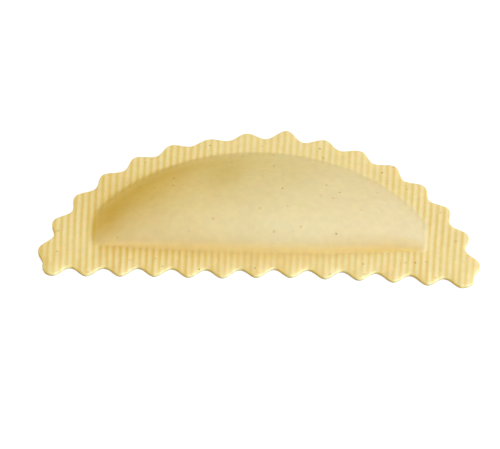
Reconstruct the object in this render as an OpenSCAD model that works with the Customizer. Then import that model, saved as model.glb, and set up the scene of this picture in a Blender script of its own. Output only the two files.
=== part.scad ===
// Half-moon ravioli, raw: two sheets of egg dough pressed together round a filling.
// It is one closed piece. A fluted half-moon cutter gives the wavy edge, a ribbed press
// seals the margin, and the filling holds the smooth pocket up between them.
// The flat side lies on the table at z = 0, and the straight edge faces -Y.

/* [Half moon] */
// Radius of the round edge, to the middle of its waves
edge_r = 39.2; // [34:0.1:60]
// Height of the straight edge's ends above the centre of that circle
straight_y = 2.7; // [0:0.1:6]
// How far the filling draws the middle of the straight edge inwards
straight_draw = 1.0; // [0:0.1:2.5]
// Slant of the straight edge, in degrees
straight_slant = 1.0; // [-1.5:0.1:1.5]

/* [Wavy edge] */
// Waves along the round edge
round_waves = 16; // [12:1:22]
// Waves along the straight edge, between its end tips
straight_waves = 12; // [8:1:16]
// Height of the round edge's waves, valley to tip
round_wave_h = 1.7; // [0.8:0.1:2.4]
// Height of the straight edge's waves, valley to tip
straight_wave_h = 1.9; // [0.8:0.1:2.4]
// Width of the rounded lobe at each corner
corner_w = 2.2; // [1.4:0.1:3.2]
// Height of that lobe
corner_h = 2.0; // [1.4:0.1:4]
// Wave of the round edge that was pulled out of line, counted from the right
pulled_wave = 8; // [1:1:12]
// How far that wave stands out past the others
pulled_out = 1.0; // [0:0.1:2]
// How far the second wave after it falls short of the others
short_by = 0.8; // [0:0.1:1]

/* [Sealed margin] */
// Thickness of the two pressed sheets, to the crests between the flutes
margin_t = 0.95; // [0.85:0.05:2.5]
// Thickness left at the cut, where the cutter pinched the dough
cut_t = 0.5; // [0.4:0.05:0.65]
// Width of the pinched band along the cut
pinch_w = 0.4; // [0.3:0.05:0.8]
// Spacing of the flutes that the press leaves, at the straight edge
flute_pitch = 1.14; // [0.8:0.01:2]
// How much wider the flutes stand apart at the round edge
flute_spread = 1.09; // [1:0.01:1.12]
// Depth of a flute
flute_d = 0.12; // [0.08:0.02:0.24]
// Width of the crest between two flutes
crest_w = 0.2; // [0.1:0.02:0.5]

/* [Filled pocket] */
// Distance from the round edge to the pocket's back foot
round_margin = 4.4; // [3:0.1:8]
// Distance from the straight edge to the pocket's front foot, at its two ends
straight_margin = 6.5; // [4:0.1:10]
// How far the pocket's front swells out between its ends
pocket_belly = 1.2; // [0:0.1:3]
// Width of the pocket across its two blunt ends
pocket_end_w = 8.0; // [5:0.1:12]
// Height of the pocket above the margin
pocket_h = 5.3; // [3:0.1:9]
// Place of the ridge between the front foot, 0, and the back foot, 1, in the middle
ridge_at = 0.32; // [0.25:0.01:0.6]
// How far that place shifts towards the front at the pocket's ends
ridge_shift = 0.1; // [0:0.01:0.15]
// Fullness of the front face: the lower, the rounder
front_rise = 0.7; // [0.5:0.02:1.6]
// Fullness of the back face
back_rise = 1.33; // [0.6:0.02:1.8]
// Distance in which the flutes run out at the pocket's foot
flute_run_out = 0.9; // [0.4:0.1:1.5]

/* [Hidden] */
dough_colour = "#efd595";
points_per_wave = 10;
corner_points = 5;
pocket_sections = 27;
front_points = 7;
back_points = 14;

// Outline of the cut edge
valley_r = edge_r - round_wave_h / 2;
tip_y = straight_y - straight_wave_h / 2;
// Half the angle that the round edge spans, from the axis to its last valley
half_span = acos((tip_y + corner_h) / valley_r);
wave_angle = 2 * half_span / round_waves;
// The first and last tips of the straight edge stand at x = +/- straight_half
corner_x = valley_r * sin(half_span);
straight_half = corner_x - corner_w;

// Bell curve that lifts one wave of the round edge and leaves its neighbours alone
function on_wave(a, wave) =
    let (off = (a - half_span + (wave - 0.5) * wave_angle) / (wave_angle / 3.4))
    exp(-off * off);

// Reach of the round edge from its centre, at an angle from the +Y axis towards +X
function edge_reach(a) =
    edge_r - cos(360 * (a + half_span) / wave_angle) * round_wave_h / 2
    + pulled_out * on_wave(a, pulled_wave) - short_by * on_wave(a, pulled_wave + 2);

// Height of the straight edge at x
function straight_edge(x) =
    let (along = (x + straight_half) / (2 * straight_half))
    straight_y + straight_draw * sin(180 * along) + x * tan(straight_slant)
    - cos(360 * straight_waves * along) * straight_wave_h / 2;

// Rounded lobe from the round edge's last valley down to the straight edge's end tip
function lobe(side) = [for (i = [1:corner_points])
    let (a = 90 * i / (corner_points + 1),
         end_y = straight_edge(side * straight_half),
         valley_y = tip_y + corner_h)
    [side * (straight_half + corner_w * cos(a)), valley_y + (end_y - valley_y) * sin(a)]];
function reversed(list) = [for (i = [len(list) - 1:-1:0]) list[i]];

round_steps = round_waves * points_per_wave;
straight_steps = straight_waves * points_per_wave;
outline = concat(
    [for (i = [0:round_steps])
        let (a = half_span * (1 - 2 * i / round_steps))
        edge_reach(a) * [sin(a), cos(a)]],
    lobe(-1),
    [for (i = [0:straight_steps])
        let (x = straight_half * (2 * i / straight_steps - 1))
        [x, straight_edge(x)]],
    reversed(lobe(1))
);

// The origin stands under the middle of the outline's box
outline_x = [for (p = outline) p.x];
outline_y = [for (p = outline) p.y];
middle_x = (max(outline_x) + min(outline_x)) / 2;
middle_y = (max(outline_y) + min(outline_y)) / 2;

// Outline moved inwards along its own normals
function inset(points, d) =
    let (n = len(points))
    [for (i = [0:n - 1])
        let (t = points[(i + 1) % n] - points[(i + n - 1) % n])
        points[i] + d * [-t.y, t.x] / norm(t)];

// Closes a row of rings of equal point count into a solid, with a flat face at each end
module joined_rings(rings) {
    n = len(rings[0]);
    last = len(rings) - 1;
    polyhedron(
        points = [for (ring = rings) each ring],
        faces = concat(
            [[for (i = [0:n - 1]) i]],
            [for (k = [0:last - 1], i = [0:n - 1])
                [k * n + i, (k + 1) * n + i, k * n + (i + 1) % n]],
            [for (k = [0:last - 1], i = [0:n - 1])
                [k * n + (i + 1) % n, (k + 1) * n + i, (k + 1) * n + (i + 1) % n]],
            [[for (i = [n - 1:-1:0]) last * n + i]]
        )
    );
}

function raised(points, z) = [for (p = points) [p.x, p.y, z]];

// Everything inside the cut, with the band that the cutter pinched down
module cut_blank() {
    pinch_h = margin_t - cut_t;
    joined_rings([
        raised(outline, 0),
        raised(outline, cut_t),
        raised(inset(outline, pinch_w / 3), cut_t + pinch_h * 0.6),
        raised(inset(outline, pinch_w), margin_t)
    ]);
}

// One ridge of the press, laid across both sheets, with its flute's depth below their top
module press_ridge(i) {
    half_w = (flute_pitch - crest_w) / 2;
    ridge_r = (half_w * half_w + flute_d * flute_d) / (2 * flute_d);
    reach = edge_r + round_wave_h + pulled_out;
    hull() {
        for (end = [[-straight_wave_h, 1], [reach, flute_spread]])
            translate([i * flute_pitch * end[1], end[0], margin_t - flute_d + ridge_r])
                rotate([90, 0, 0])
                    cylinder(r = ridge_r, h = 0.01, $fn = 16);
    }
}

// Both sheets pressed together, with flutes from the straight edge to the round one
module fluted_sheet() {
    flutes_each_side = ceil((edge_r + round_wave_h) / flute_pitch);
    difference() {
        cut_blank();
        for (i = [-flutes_each_side:flutes_each_side])
            press_ridge(i);
    }
}

// The smooth skin over the filling, as cross sections set along the straight edge
module filled_pocket() {
    back_r = edge_r - round_margin;
    end_y = straight_y + straight_margin + pocket_end_w;
    half_l = sqrt(back_r * back_r - end_y * end_y);
    low = margin_t / 3;
    under_flutes = margin_t - flute_d - 0.06;
    over_crests = margin_t + 0.03;

    // Front foot and back foot of the pocket at x, a share t of its half length off centre;
    // the front foot follows the slant of the straight edge
    function front(x, t) = straight_y + straight_margin - pocket_belly * cos(90 * t)
        + x * tan(straight_slant);
    function back(t) = sqrt(back_r * back_r - pow(half_l * t, 2));

    // One cross section; a height of 0 gives the section where the flutes have run out
    function section(x, t, h) =
        let (f = front(x, t),
             b = back(t),
             r = f + (ridge_at - ridge_shift * t * t) * (b - f),
             foot_z = h > 0 ? over_crests : under_flutes)
        concat(
            [[x, f - flute_run_out, low], [x, b + flute_run_out, low],
             [x, b + flute_run_out, under_flutes]],
            [for (i = [0:back_points])
                let (w = i / back_points)
                [x, b + w * (r - b), foot_z + h * pow(sin(90 * w), back_rise)]],
            [for (i = [front_points - 1:-1:0])
                let (w = pow(i / front_points, 1.4))
                [x, f + w * (r - f), foot_z + h * pow(sin(90 * w), front_rise)]],
            [[x, f - flute_run_out, under_flutes]]
        );

    joined_rings(concat(
        [section(-half_l - flute_run_out, 1, 0)],
        [for (i = [-pocket_sections:pocket_sections])
            let (t = sin(90 * i / pocket_sections))
            section(half_l * t, abs(t), pocket_h * max(1 - t * t, 0.001))],
        [section(half_l + flute_run_out, 1, 0)]
    ));
}

module ravioli() {
    color(dough_colour)
        translate([-middle_x, -middle_y, 0]) {
            fluted_sheet();
            filled_pocket();
        }
}

ravioli();
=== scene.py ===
import math

import bpy
import numpy as np
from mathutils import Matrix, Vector


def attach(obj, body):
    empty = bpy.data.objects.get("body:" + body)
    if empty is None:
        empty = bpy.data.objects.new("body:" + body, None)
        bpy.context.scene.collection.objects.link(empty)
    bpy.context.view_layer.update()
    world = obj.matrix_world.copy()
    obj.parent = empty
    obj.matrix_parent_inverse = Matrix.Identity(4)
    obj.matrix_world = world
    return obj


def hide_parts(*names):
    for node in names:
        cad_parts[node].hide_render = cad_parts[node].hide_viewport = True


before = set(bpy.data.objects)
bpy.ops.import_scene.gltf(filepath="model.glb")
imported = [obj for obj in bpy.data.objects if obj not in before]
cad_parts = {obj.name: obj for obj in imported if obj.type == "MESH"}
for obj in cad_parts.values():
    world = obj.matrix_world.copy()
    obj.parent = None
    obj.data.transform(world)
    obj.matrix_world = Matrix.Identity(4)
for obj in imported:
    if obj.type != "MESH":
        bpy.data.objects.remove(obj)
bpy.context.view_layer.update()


# The half-moon of dough. Two thin sheets of egg and semolina dough are rolled, laid over
# a spoon of filling, pressed together between fluted plates and stamped out with a wavy
# cutter. It is one closed skin here, from the table up over the filling.

# all sizes are in millimetres, from the middle of the circle of the round edge
margin_t, cut_t, pinch_w = 0.95, 0.5, 0.5
flute_pitch, flute_crest, flute_d = 1.14, 0.2, 0.05
pocket_h, pocket_x, pocket_half = 5.3, 0.1, 30.3
front_foot_y, front_belly, slant = 9.2, 1.2, 0.0175
back_foot_r = 34.8
corner_fade = 1.3


def smooth_step(low, high, value):
    """0 below low, 1 above high, and 3t^2 - 2t^3 of the share t between them."""
    t = np.clip((value - low) / (high - low), 0.0, 1.0)
    return t * t * (3.0 - 2.0 * t)


def bell(value, middle, width):
    """Bell curve exp(-((value - middle) / width)^2)."""
    return np.exp(-(((value - middle) / width) ** 2))


def cut_edge(count):
    """The stamped outline: count points from the right-hand end over the round edge to the
    left-hand end, then back along the straight edge, with half of them on each.

    Round edge: a radius plus 16 cosine waves, one of them pulled out and one short, by the
    angle. Straight edge: a height plus a half sine for the pull of the filling and 12
    cosine waves, by x. Quarter ellipses join the two. Slow sines of at most a quarter of a
    millimetre bring the unevenness of a soft sheet.
    """
    radius, round_waves, round_wave_h = 39.2, 16, 1.7
    straight_y, straight_waves, straight_wave_h = 2.7, 12, 1.9
    straight_draw, straight_slant = 1.0, math.radians(1.0)
    pulled_out, short_by = 1.0, 0.8
    corner_w, corner_h = 2.2, 2.0
    valley_r = radius - round_wave_h / 2
    valley_y = straight_y - straight_wave_h / 2 + corner_h
    half_span = math.acos(valley_y / valley_r)
    wave = 2 * half_span / round_waves
    half = valley_r * math.sin(half_span) - corner_w

    a = np.linspace(half_span, -half_span, 6001)
    reach = radius - np.cos(2 * np.pi * (a + half_span) / wave) * round_wave_h / 2
    reach += pulled_out * bell(a, half_span - 7.5 * wave, wave / 3.4)
    reach -= short_by * bell(a, half_span - 9.5 * wave, wave / 3.4)
    reach += 0.07 * np.sin(4.71 * a - 6.17) - 0.06 * np.sin(20.2 * a + 4.64)
    reach -= 0.1 * bell(a, half_span, 0.15) + 0.2 * bell(a, -half_span, 0.5)
    arc = np.stack([reach * np.sin(a), reach * np.cos(a)], 1)

    x = np.linspace(-half, half, 4001)
    along = (x + half) / (2 * half)
    y = straight_y + straight_draw * np.sin(np.pi * along) + x * math.tan(straight_slant)
    y -= np.cos(2 * np.pi * straight_waves * along) * straight_wave_h / 2
    y += 0.25 * np.sin(0.132 * x - 0.22) + 0.09 * np.sin(0.3 * x + 0.56)
    chord = np.stack([x, y], 1)

    t = np.linspace(0, np.pi / 2, 302)[1:-1]
    turn = np.stack([np.cos(t), 1 - np.sin(t)], 1)
    left = chord[0] + turn * (arc[-1] - chord[0])
    right = chord[-1] + turn * (arc[0] - chord[-1])
    half_turn = len(t) // 2

    def spread(line):
        """The same line with count / 2 points at even steps of its length."""
        run = np.concatenate([[0], np.cumsum(np.hypot(*np.diff(line, axis=0).T))])
        at = np.linspace(0, run[-1], count // 2 + 1)[:-1]
        return np.stack([np.interp(at, run, line[:, k]) for k in (0, 1)], 1)

    over = spread(np.concatenate([arc, left[:half_turn]]))
    under = spread(np.concatenate([left[half_turn - 1 :], chord, right[::-1], arc[:1]]))
    return np.concatenate([over, under])


def front_foot(x):
    """Front foot of the pocket: it slants as the straight edge does, swells forwards by a
    cosine and stands a quarter of a millimetre further back on the right."""
    share = np.clip(np.abs(x - pocket_x) / pocket_half, 0, 1)
    swell = front_belly * np.cos(np.pi / 2 * share)
    return front_foot_y - swell + slant * x + 0.25 * smooth_step(8, 22, x)


def pocket_rise(x, y):
    """Height of the filled pocket over the margin.

    Across, it rises from the front foot and from the back foot to a ridge as a power of a
    sine, steeply in front and gently behind. Lengthwise the ridge falls away to both ends
    as 1 - t^k, with t the share of the half length and k 1.9 on the right and 2.3 to 2.9
    on the left. Both shares are taken as (w + sqrt(w^2 + fillet)) / 2, which rounds the
    feet, and t grows a little towards the front foot, which rounds the front corners.
    """
    front_power, back_power = 0.45, 1.28
    front_fillet, back_fillet, end_fillet = 0.00004, 0.0009, 0.0004

    front = front_foot(x)
    back = np.sqrt(np.maximum(back_foot_r**2 - x * x, 0))
    t = np.abs(x - pocket_x) / pocket_half
    t = t + 0.025 * np.exp(-np.maximum(y - front, 0) / corner_fade)
    ridge_at = 0.32 + np.where(x < 0, 0.06, -0.10) * np.clip(t, 0, 1) ** 2
    ridge = front + ridge_at * (back - front)
    w_front = (y - front) / (ridge - front)
    w_back = (back - y) / (back - ridge)
    in_front = w_front < w_back
    w = np.minimum(w_front, w_back)
    w = 0.5 * (w + np.sqrt(w * w + np.where(in_front, front_fillet, back_fillet)))
    power = np.where(in_front, front_power, back_power)
    fall = 1 - t ** np.where(x < 0, 2.3 + 0.6 * smooth_step(0, 1, w_front), 1.9)
    fall = 0.5 * (fall + np.sqrt(fall * fall + end_fillet))
    rise = pocket_h * fall * np.sin(np.pi / 2 * np.clip(w, 0, 1)) ** power

    # the filling is lumpy: soft swellings and hollows a few millimetres across, each by
    # its height, its place and its reach along and across
    lumps = 0.0
    for height, at_x, at_y, reach_x, reach_y in (
        (0.16, -3.5, 24.5, 3.2, 6.0),
        (-0.22, -9.5, 25.5, 3.4, 6.5),
        (0.14, -17.0, 20.0, 4.0, 5.0),
        (0.10, 9.0, 27.0, 4.5, 4.0),
        (-0.08, 15.0, 20.0, 4.0, 5.0),
    ):
        lumps = lumps + height * bell(x, at_x, reach_x) * bell(y, at_y, reach_y)
    return rise + lumps * smooth_step(0.6, 2.5, rise)


def flute(x, y):
    """Flutes of the press at a place: their depth and their painted shade, both as shares.

    The depth is 1 - q^2 across a flute, with q from -1 to 1 between two crests, and the
    painted shade is a bell curve on the wall of the flute that lies in shade. The
    flutes fan out towards the round edge, stand a fifth of a pitch aside where the filling
    pushed them, and are pressed less deep in the middle.
    """
    fan_gain, fan_near_y, fan_length = 0.09, -1.9, 43.8
    fan = 1 + fan_gain * (y - fan_near_y) / fan_length
    aside = 0.2 * smooth_step(-31, -25, x) - 0.27 * smooth_step(5, 30, x)
    across = x + 0.01 * y + 0.03 * np.sin(0.4 * y + 0.3 * x)
    place = across / (fan * flute_pitch) + 0.35 - aside
    q = (place - np.round(place)) * 2 * flute_pitch / (flute_pitch - flute_crest)
    pressed = 1 - 0.4 * smooth_step(-16, -3, x) + 0.35 * smooth_step(18, 32, x)
    return pressed * (1 - np.clip(np.abs(q), 0, 1) ** 2), pressed * bell(q, 0.5, 0.5)


def foot_distances(x, y):
    """Distances, positive over the pocket, from its front foot, and from its back foot or
    its nearer end. The ends stand 0.8 mm further in at the front foot, which fades as
    exp(-distance / 1.3)."""
    from_front = y - front_foot(x)
    from_end = pocket_half - 0.2 - np.abs(x - pocket_x)
    from_end -= 0.8 * np.exp(-np.maximum(from_front, 0) / corner_fade)
    return from_front, np.minimum(back_foot_r - np.hypot(x, y), from_end)


def painted_shade_share(x, y, fluted, flute_shade):
    """Share of painted shade, a deeper yellow: the sum of
    exponential and bell curves of the distances from the pocket's feet."""
    from_front, from_back = foot_distances(x, y)
    inside = np.minimum(from_front, from_back)

    # painted shade in the crease along the front foot, which fades outwards and, faster, up the
    # pocket
    outside = np.exp(np.minimum(inside, 0) / (2.6 - 1.9 * smooth_step(0, 20, x)))
    outside *= 0.88 - 0.53 * smooth_step(18, 28, x)
    fade = 0.6 + 0.3 * smooth_step(-20, -10, x) + 0.6 * smooth_step(5, 30, x)
    within = np.exp(-from_front / fade) * (0.95 + 0.15 * smooth_step(5, 20, x))
    in_front = (1 - smooth_step(2.0, 3.5, from_front)) * smooth_step(-0.5, 1.5, from_back)
    share = np.where(from_front < 0, outside, within) * in_front

    # painted shade along the back foot, where the flutes run out
    share += 0.3 * bell(inside, 0.8, 0.7) * (1 - in_front) * (0.1 + flute_shade)
    # painted shade on the steep left end of the pocket, which faces away from the light
    at_left = smooth_step(0, -15, x)
    share += 0.35 * bell(from_back, 3.5, 2.5) * at_left * smooth_step(0.5, 3, inside)
    share += 0.15 * bell(x, -26.5, 3.0) * bell(y, 16.0, 4.0)
    # the right-hand part of the fluted margin, made a little deeper yellow
    return share + 0.09 * smooth_step(10, 25, x) * fluted


def margin_top(x, y):
    """Top of the dough away from the cut: the pressed sheets less their flutes, which run
    out at the pocket's foot, plus the pocket. Gives the height, and as shares the filled
    pocket, the painted shade of the flutes and the other painted shade."""
    from_front, from_back = foot_distances(x, y)
    inside = np.minimum(from_front, from_back)
    depth, flute_shade = flute(x, y)
    run_out = np.where(from_front < from_back, 0.25, 1.2)
    fluted = 1 - smooth_step(-0.2, run_out, inside)
    sag = 0.03 * np.sin(0.21 * x + 0.3 * y) + 0.02 * np.sin(0.47 * x - 0.2 * y + 1.0)
    sheets = margin_t + sag * (1 - smooth_step(0, 4, inside))
    height = sheets + pocket_rise(x, y) - flute_d * fluted * depth
    filled = smooth_step(-0.1, 0.8, inside)
    return height, filled, flute_shade * fluted, painted_shade_share(x, y, fluted, flute_shade)


def dough_skin(edge):
    """The closed surface: rings of points round the outline, from the spine of the
    underside out to the cut, up its wall, over the pinched band and in to the pocket's
    spine. A ring's point stands on the ray from a point of the outline to the spine.
    Returns points, faces, and the shares of pocket, painted flute shade and other painted
    shade."""
    count = len(edge)
    k = np.arange(count)
    ahead = (k + 1) % count
    pair = np.minimum(k, count - k)

    def evened(values, reach):
        """Values round the outline, each the weighted mean of those within its reach."""
        window = np.hanning(2 * reach + 1) / np.hanning(2 * reach + 1).sum()
        around = np.concatenate([values[-reach:], values, values[:reach]])
        return np.convolve(around, window, "valid")

    run = np.roll(edge, -1, 0) - np.roll(edge, 1, 0)
    inward = np.stack([-run[:, 1], run[:, 0]], 1) / np.hypot(*run.T)[:, None]
    inward = np.stack([evened(side, 5) for side in inward.T], 1)
    spine_x = 27.0 * np.cos(np.pi * np.arange(count // 2 + 1) / (count // 2))
    spine = np.stack([spine_x, 16.6 - 6.0 * (spine_x / 30) ** 2], 1)
    inner = edge + pinch_w * inward
    ray = spine[pair] - inner

    # share of each ray at which the pocket has begun, evened out along the outline
    begun_h = 0.3
    tried = np.linspace(0, 1, 400)
    probe = inner[:, None] + tried[:, None] * ray[:, None]
    higher = pocket_rise(probe[..., 0], probe[..., 1]) > begun_h
    begun = evened(tried[np.argmax(higher, axis=1)], 21)

    places, heights, shares = [], [], []

    def row(place, height, *three):
        """Stores one ring with its three shares."""
        places.append(place)
        heights.append(np.broadcast_to(height, count))
        shares.append(np.stack([np.broadcast_to(share, count) for share in three or (0, 0, 0)]))

    # the flat underside, then its rounded lower rim and the wall of the cut, which gets painted
    # shade at half strength
    row(inner + 0.6 * ray, 0.0)
    row(inner + 0.02 * ray, 0.0)
    flute_shade = margin_top(edge[:, 0], edge[:, 1])[2]
    for inset, height in ((0.16, 0.0), (0.04, 0.03), (0.0, 0.12), (0.0, 0.3), (0.0, cut_t)):
        row(edge + inset * inward, height, 0.0, flute_shade, 0.5)

    # rows over the pinched band, then coarse ones over the margin, fine ones across the
    # pocket's foot and coarse ones over it, each with its distance from the cut
    insets = (0.01, 0.03, 0.06, 0.12, 0.26, pinch_w)
    bands = [(edge + inset * inward, inset) for inset in insets]
    before, after = begun - 0.07, begun + 0.08
    steps = [before * j / 32 for j in range(1, 33)]
    steps += [before + (after - before) * j / 14 for j in range(1, 15)]
    steps += [after + (1 - after) * 0.9 * (j / 12) ** 1.1 for j in range(1, 12)]
    beside = edge[(k[:, None] + np.arange(-60, 61)) % count]
    for step in steps:
        place = inner + step[:, None] * ray
        bands.append((place, np.hypot(*(beside - place[:, None]).T).min(0)))

    # the top rises from the cut over a round of 0.12 mm and a soft slope of 0.9 mm, and
    # the straight edge has more of the slope
    for place, off in bands:
        top, *three = margin_top(place[:, 0], place[:, 1])
        corner = np.sqrt(1 - (1 - np.minimum(off / 0.12, 1)) ** 2)
        crisp = 0.3 + 0.6 * smooth_step(6, 10, place[:, 1])
        lift = crisp * corner + (1 - crisp) * (1 - np.exp(-off / 0.9))
        row(place, cut_t + (top - cut_t) * lift, *three)

    top, *three = margin_top(spine[:, 0], spine[:, 1])
    rings = [np.column_stack([place, height]) for place, height in zip(places, heights)]
    low, high = np.column_stack([spine, 0 * top]), np.column_stack([spine, top])
    points = np.concatenate([low] + rings + [high])
    shares = np.concatenate([np.zeros((3, len(low)))] + shares + [np.stack(three)], axis=1)

    # faces between neighbouring rings, and from the first and last ring to the spines
    first, last = len(low), len(low) + count * (len(rings) - 1)
    base = first + count * np.arange(len(rings) - 1)[:, None]
    walls = np.stack([base + k, base + ahead, base + count + ahead, base + count + k], -1)
    roof = last + count
    under = np.stack([pair, pair[ahead], first + ahead, first + k], -1)
    over = np.stack([last + k, last + ahead, roof + pair[ahead], roof + pair], -1)
    return points, np.concatenate([under, walls.reshape(-1, 4), over]), shares


edge = cut_edge(1300)
points, faces, shares = dough_skin(edge)
middle = (edge.max(0) + edge.min(0)) / 2
points[:, :2] -= middle
mesh = bpy.data.meshes.new("ravioli_skin")
mesh.from_pydata((points * 0.001).tolist(), [], faces.tolist())
mesh.polygons.foreach_set("use_smooth", np.ones(len(faces), bool))
for name, values in zip(("filled", "flute_shade", "painted_shade"), shares):
    layer = mesh.attributes.new(name, "FLOAT", "POINT")
    layer.data.foreach_set("value", values.astype(np.float32))
mesh.update()
ravioli = bpy.data.objects.new("ravioli_skin", mesh)
bpy.context.scene.collection.objects.link(ravioli)


# Raw egg dough: fine semolina and yolk, rolled and pressed, dry to the touch. To the eye
# it is matte and lets light sink in, paler and greener over the filling, with flecks of bran
# and pepper. Painted shade makes it deeper yellow on one wall of each flute, in the creases
# round the pocket, at its left end and on the cut.


def srgb(code):
    """Linear colour of an sRGB hex value."""
    parts = [int(code[i : i + 2], 16) / 255 for i in (1, 3, 5)]
    return (*[c / 12.92 if c <= 0.04045 else ((c + 0.055) / 1.055) ** 2.4 for c in parts], 1)


def add(tree, kind, inputs=None, settings=None, stops=()):
    """Adds a node. An input, by name or number, is a value or the output that feeds it.
    A stop of a colour ramp is a position and a grey or a linear colour."""
    node = tree.nodes.new(kind)
    for name, value in (settings or {}).items():
        setattr(node, name, value)
    for name, value in (inputs or {}).items():
        if isinstance(value, bpy.types.NodeSocket):
            tree.links.new(value, node.inputs[name])
        else:
            node.inputs[name].default_value = value
    for index, (position, shade) in enumerate(stops):
        elements = node.color_ramp.elements
        element = elements[index] if index < 2 else elements.new(position)
        element.position = position
        element.color = shade if isinstance(shade, tuple) else (shade, shade, shade, 1)
    return node


dough = bpy.data.materials.new("raw egg pasta dough")
dough.use_nodes = True
tree = dough.node_tree
shader = tree.nodes["Principled BSDF"]
place = add(tree, "ShaderNodeTexCoord").outputs["Object"]
filled, flute_shade, painted_shade = (
    add(tree, "ShaderNodeAttribute", settings={"attribute_name": name}).outputs["Fac"]
    for name in ("filled", "flute_shade", "painted_shade")
)
mixed = {"data_type": "RGBA"}
multiplied = {"data_type": "RGBA", "blend_type": "MULTIPLY"}

# the margin: painted shade makes the shaded wall of each flute a deeper yellow
colours = {0: flute_shade, 6: srgb("#efdba6"), 7: srgb("#edd18a")}
margin = add(tree, "ShaderNodeMix", colours, mixed).outputs[2]

# the filling shows through a little, least at the ends: -30 mm to 30 mm along the pocket
x_place = add(tree, "ShaderNodeSeparateXYZ", {"Vector": place}).outputs["X"]
ends = {"Value": x_place, "From Min": -0.03, "From Max": 0.03}
along = add(tree, "ShaderNodeMapRange", ends).outputs[0]
stops = (0.15, srgb("#e5cf9a")), (0.9, srgb("#e2cd9e")), (0.55, srgb("#e4d3a4"))
pocket = add(tree, "ShaderNodeValToRGB", {"Fac": along}, stops=stops).outputs["Color"]

# cloudiness in lumps of 7 mm over the filling, and mottling of 1.3 mm all over
noise = {"Vector": place, "Scale": 1000 / 7.0, "Detail": 3.0}
cloud = add(tree, "ShaderNodeTexNoise", noise).outputs["Fac"]
stops = (0.35, 0.965), (0.65, 1.0)
cloud = add(tree, "ShaderNodeValToRGB", {"Fac": cloud}, stops=stops).outputs["Color"]
pocket = add(tree, "ShaderNodeMix", {0: 1.0, 6: pocket, 7: cloud}, multiplied).outputs[2]
colour = add(tree, "ShaderNodeMix", {0: filled, 6: margin, 7: pocket}, mixed).outputs[2]

noise = {"Vector": place, "Scale": 1000 / 1.3, "Detail": 4.0}
mottle = add(tree, "ShaderNodeTexNoise", noise).outputs["Fac"]
stops = (0.3, 0.94), (0.7, 1.0)
mottle = add(tree, "ShaderNodeValToRGB", {"Fac": mottle}, stops=stops).outputs["Color"]
colour = add(tree, "ShaderNodeMix", {0: 1.0, 6: colour, 7: mottle}, multiplied).outputs[2]

# painted shade: deeper yellow in the creases round the pocket, at its left end and on the cut,
# and a little over the right-hand margin
colours = {0: painted_shade, 6: colour, 7: srgb("#f0e0b6")}
colour = add(tree, "ShaderNodeMix", colours, multiplied).outputs[2]

# flecks: sharp ones 0.2 to 0.4 mm across and faint broad ones of bran; each cell of the
# given size holds at most one, and the share of the cells that do is given too
for cell_mm, kept, strength, inner, outer, first, second in (
    (2.0, 0.25, 1.0, 0.05, 0.11, "#c08a3e", "#9a8a6c"),
    (2.7, 0.45, 0.4, 0.03, 0.15, "#c98a3c", "#b88c4c"),
):
    cells = add(tree, "ShaderNodeTexVoronoi", {"Vector": place, "Scale": 1000 / cell_mm})
    chosen = add(tree, "ShaderNodeSeparateColor", {"Color": cells.outputs["Color"]})
    stops = (0.99 - kept, 0.0), (1.01 - kept, strength)
    rare = add(tree, "ShaderNodeValToRGB", {"Fac": chosen.outputs["Red"]}, stops=stops)
    stops = (inner, 1.0), (outer, 0.0)
    dot = add(tree, "ShaderNodeValToRGB", {"Fac": cells.outputs["Distance"]}, stops=stops)
    colours = {0: chosen.outputs["Green"], 6: srgb(first), 7: srgb(second)}
    fleck = add(tree, "ShaderNodeMix", colours, mixed).outputs[2]
    shares = {0: rare.outputs["Color"], 1: dot.outputs["Color"]}
    share = add(tree, "ShaderNodeMath", shares, {"operation": "MULTIPLY"}).outputs[0]
    colour = add(tree, "ShaderNodeMix", {0: share, 6: colour, 7: fleck}, mixed).outputs[2]
tree.links.new(colour, shader.inputs["Base Color"])

# grain of the semolina, 0.45 mm across and a few hundredths deep
noise = {"Vector": place, "Scale": 1000 / 0.45, "Detail": 5.0}
grain = add(tree, "ShaderNodeTexNoise", noise).outputs["Fac"]
bump = {"Height": grain, "Strength": 0.3, "Distance": 0.00006}
grain = add(tree, "ShaderNodeBump", bump).outputs["Normal"]
tree.links.new(grain, shader.inputs["Normal"])

# floury and dry, so hardly any gloss; the radius is how far each colour sinks in
shader.inputs["Roughness"].default_value = 0.75
shader.inputs["IOR"].default_value = 1.4
shader.inputs["Specular IOR Level"].default_value = 0.15
shader.inputs["Subsurface Weight"].default_value = 0.8
shader.inputs["Subsurface Radius"].default_value = (0.7, 0.45, 0.25)
shader.inputs["Subsurface Scale"].default_value = 0.0015
mesh.materials.append(dough)

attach(ravioli, "root")
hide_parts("ravioli")


# The table: a plain white top that the half-moon lies on. The camera sees it as white,
# and it keeps the soft shadow of the piece. Its own colour is a mid grey, so that it
# throws little light back up.

table_mesh = bpy.data.meshes.new("table")
table_mesh.from_pydata([(-3, -3, 0), (3, -3, 0), (3, 3, 0), (-3, 3, 0)], [], [(0, 1, 2, 3)])
table = bpy.data.objects.new("table", table_mesh)
bpy.context.scene.collection.objects.link(table)
white = bpy.data.materials.new("white melamine table")
white.use_nodes = True
top_shader = white.node_tree.nodes["Principled BSDF"]
top_shader.inputs["Base Color"].default_value = (0.5, 0.5, 0.5, 1)
top_shader.inputs["Roughness"].default_value = 0.8


def seen_directly(tree):
    """1 for a ray from the camera and for one that a gloss or a clear thing passes on."""
    ray = add(tree, "ShaderNodeLightPath")
    share = ray.outputs["Is Camera Ray"]
    for kind in ("Is Glossy Ray", "Is Transmission Ray"):
        shares = {0: share, 1: ray.outputs[kind]}
        share = add(tree, "ShaderNodeMath", shares, {"operation": "MAXIMUM"}).outputs[0]
    return share


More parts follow.
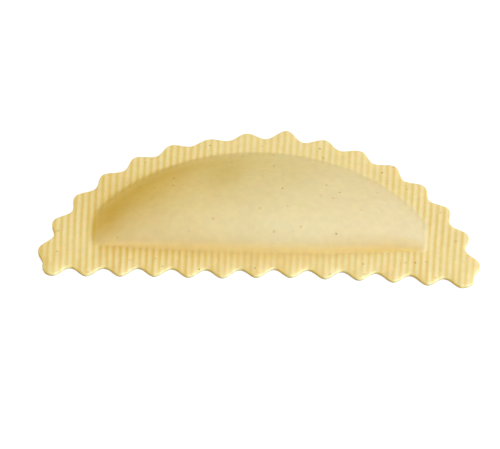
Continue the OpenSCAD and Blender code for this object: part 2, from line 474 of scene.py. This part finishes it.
glow = {"Strength": seen_directly(white.node_tree), "Color": (0.68, 0.74, 0.9, 1)}
glow = add(white.node_tree, "ShaderNodeEmission", glow)
both = {0: top_shader.outputs[0], 1: glow.outputs[0]}
both = add(white.node_tree, "ShaderNodeAddShader", both)
output = white.node_tree.nodes["Material Output"]
white.node_tree.links.new(both.outputs[0], output.inputs["Surface"])
table_mesh.materials.append(white)


# The light: a soft window low on the right, a little to the front, in a warm room. The
# room is seen as plain white.

world = bpy.data.worlds.new("warm room")
bpy.context.scene.world = world
world.use_nodes = True
room = world.node_tree.nodes["Background"]
room.inputs["Strength"].default_value = 0.78
colours = {0: seen_directly(world.node_tree), 6: (0.97, 0.812, 0.285, 1), 7: (1.5, 1.5, 1.5, 1)}
seen_or_lit = add(world.node_tree, "ShaderNodeMix", colours, mixed)
world.node_tree.links.new(seen_or_lit.outputs[2], room.inputs["Color"])

window_distance = 0.8
window_data = bpy.data.lights.new("window", "AREA")
window_data.shape = "RECTANGLE"
window_data.size, window_data.size_y = 0.45, 0.3
window_data.energy = 6.9
window_data.color = (0.66, 0.963, 1.73)
window = bpy.data.objects.new("window", window_data)
bpy.context.scene.collection.objects.link(window)
toward = Vector((0.815, -0.433, 0.384)).normalized()
window.location = toward * window_distance
window.rotation_euler = toward.to_track_quat("Z", "Y").to_euler()


# The camera: a short telephoto 39 cm away, 46 degrees above the table. The photograph is
# framed with the circle of the half-moon a little right of its middle and well below it.

picture_width = 500
camera_distance = 0.3919
camera_data = bpy.data.cameras.new("camera")
camera_data.sensor_width = 36.0
camera_data.lens = 161.35
camera_data.shift_x = -5.9 / picture_width
camera_data.shift_y = 65.15 / picture_width
camera_data.clip_start = 0.01
camera = bpy.data.objects.new("camera", camera_data)
bpy.context.scene.collection.objects.link(camera)
bpy.context.scene.camera = camera
azimuth, elevation = math.radians(2.91), math.radians(45.85)
away = Vector((
    math.sin(azimuth) * math.cos(elevation),
    -math.cos(azimuth) * math.cos(elevation),
    math.sin(elevation),
))
circle_middle = Vector((-middle[0] * 0.001, -middle[1] * 0.001, 0))
camera.location = circle_middle + away * camera_distance
camera.rotation_euler = (math.pi / 2 - elevation, 0, azimuth)

bpy.context.scene.view_settings.view_transform = "Standard"
